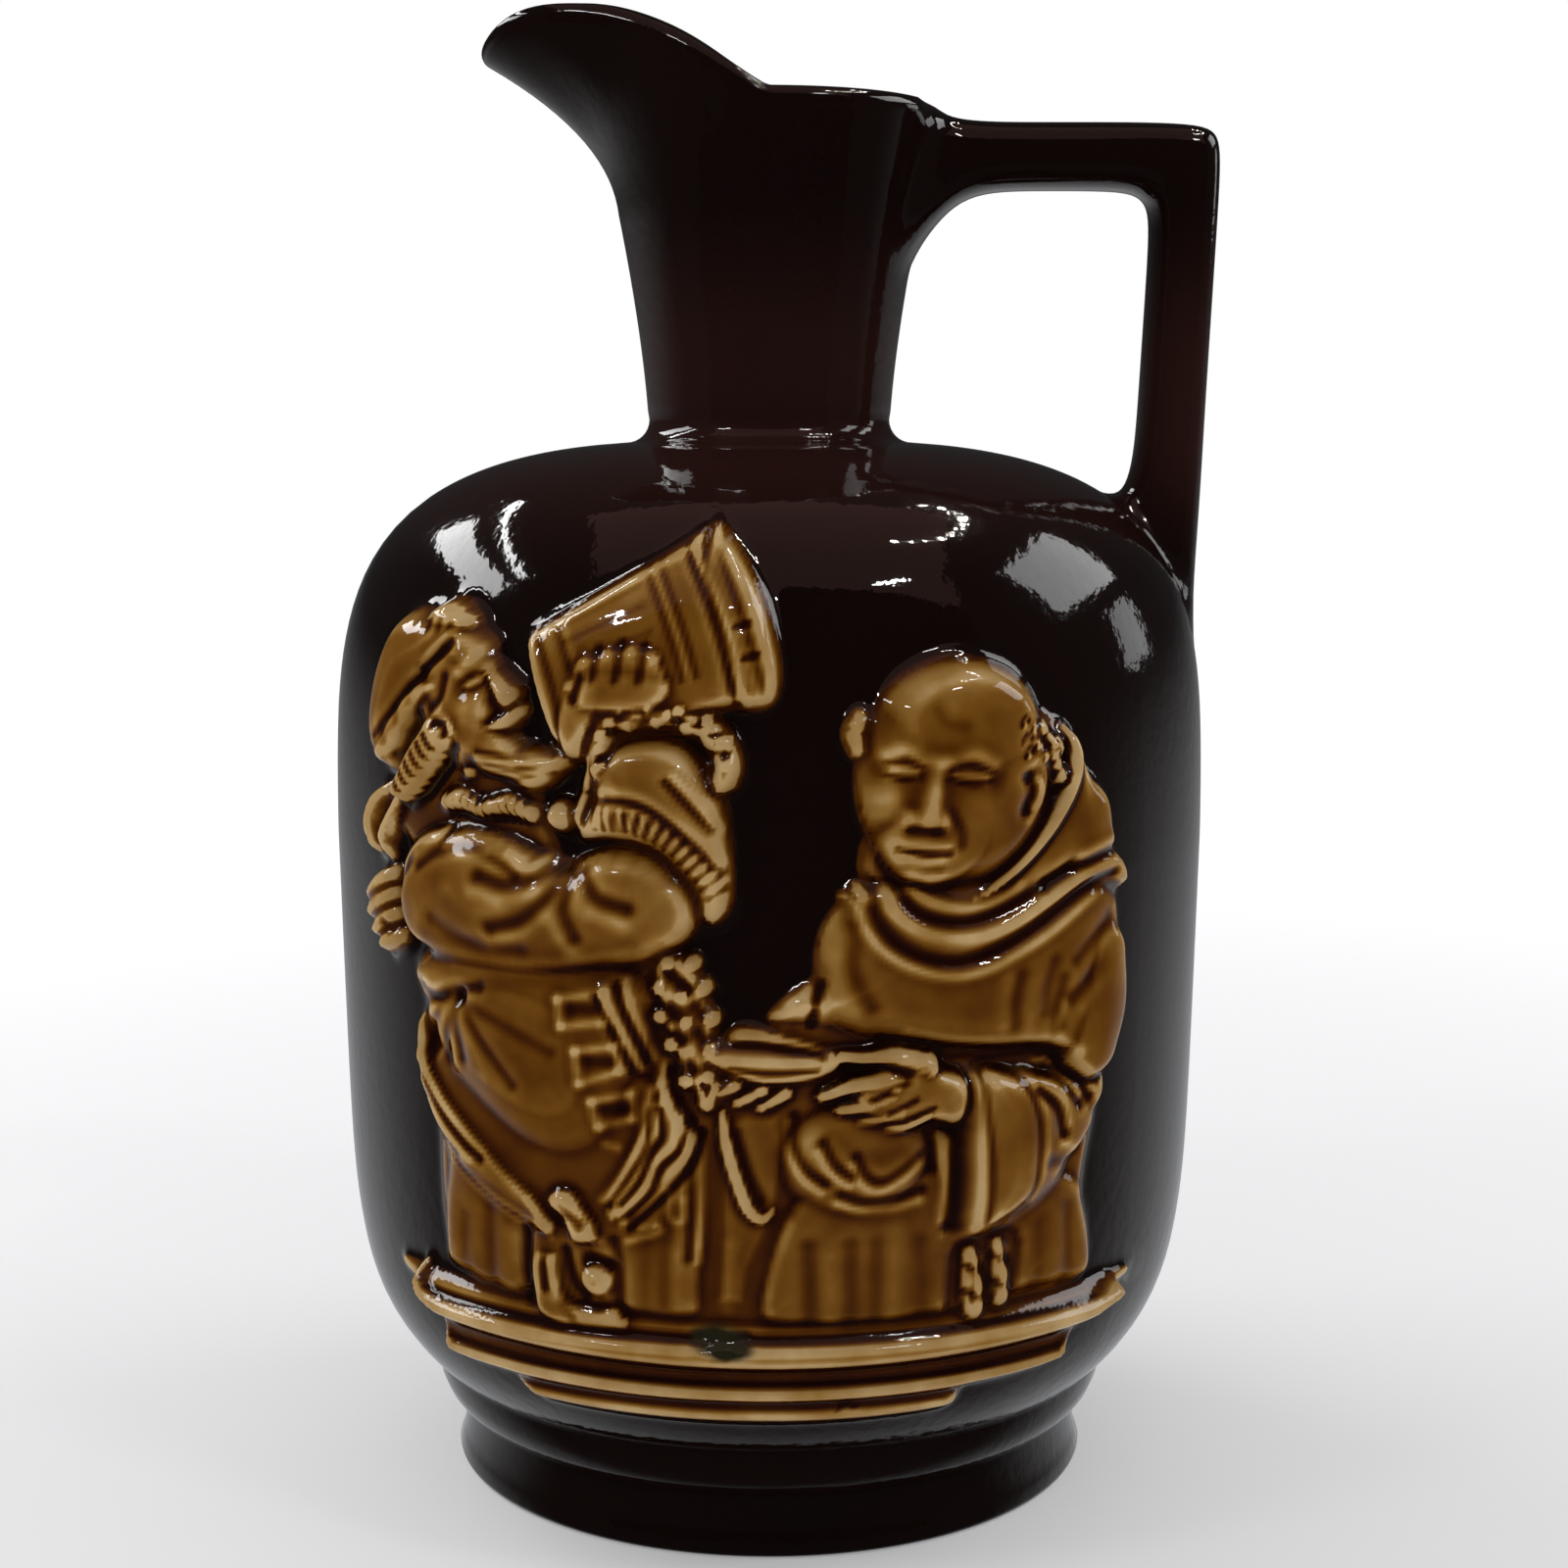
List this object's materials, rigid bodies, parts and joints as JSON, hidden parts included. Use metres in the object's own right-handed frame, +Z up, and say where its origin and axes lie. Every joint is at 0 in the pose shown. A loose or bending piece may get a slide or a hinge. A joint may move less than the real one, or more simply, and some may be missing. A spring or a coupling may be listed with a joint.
{
  "type": "relief-moulded jug",
  "caption": "Glazed earthenware ewer with a beaked spout, square handle and a tavern scene in relief on the front.",
  "frame": {"origin": "centre of the flat underside of the foot, on the turning axis of the round body", "axes": "+Z up along the turning axis; the relief faces -Y, the spout points to -X and the handle to +X"},
  "size_m": [0.1556, 0.1584, 0.2556],
  "materials": {
    "brown_glaze": "gloss glaze"
  },
  "bodies": {
    "root": {"jug": "brown_glaze"}
  },
  "joints": []
}
